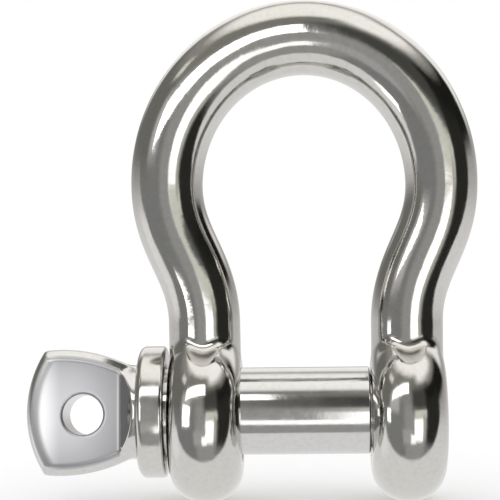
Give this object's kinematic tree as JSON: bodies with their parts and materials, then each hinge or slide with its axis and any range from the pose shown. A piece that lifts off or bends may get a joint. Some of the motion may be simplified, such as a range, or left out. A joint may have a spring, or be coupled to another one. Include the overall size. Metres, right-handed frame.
{
  "type": "bow shackle",
  "caption": "Pear-shaped bow shackle in polished stainless steel, closed by a screw pin with a collar and a flat, drilled spade head.",
  "frame": {"origin": "on the screw pin's axis, midway between the bow's two ears", "axes": "+Z from the pin towards the crown of the bow, +X along the pin from the spade head towards the threaded ear, -Y is the front"},
  "size_m": [0.0992, 0.0372, 0.1101],
  "materials": {
    "bow_steel": "polished stainless steel with faint grinding marks",
    "pin_steel": "polished stainless steel, smooth on the spade's flats",
    "collar_steel": "polished stainless steel"
  },
  "bodies": {
    "bow": {"bow": "bow_steel"},
    "pin_collar": {"pin_collar": "collar_steel"},
    "screw_pin": {"screw_pin": "pin_steel"}
  },
  "joints": [
    {"name": "pin_travel", "type": "slide", "parent": "bow", "child": "pin_collar", "axis": [-1, 0, 0], "range_m": [-0.00049, 0.04826]},
    {"name": "pin_turn", "type": "hinge", "parent": "pin_collar", "child": "screw_pin", "pos_m": [0, 0, 0], "axis": [-1, 0, 0], "range_deg": [-70, 6845]}
  ],
  "couplings": [
    {"joint": "pin_turn", "follows": "pin_travel", "rad_per_m": 2473.7}
  ]
}
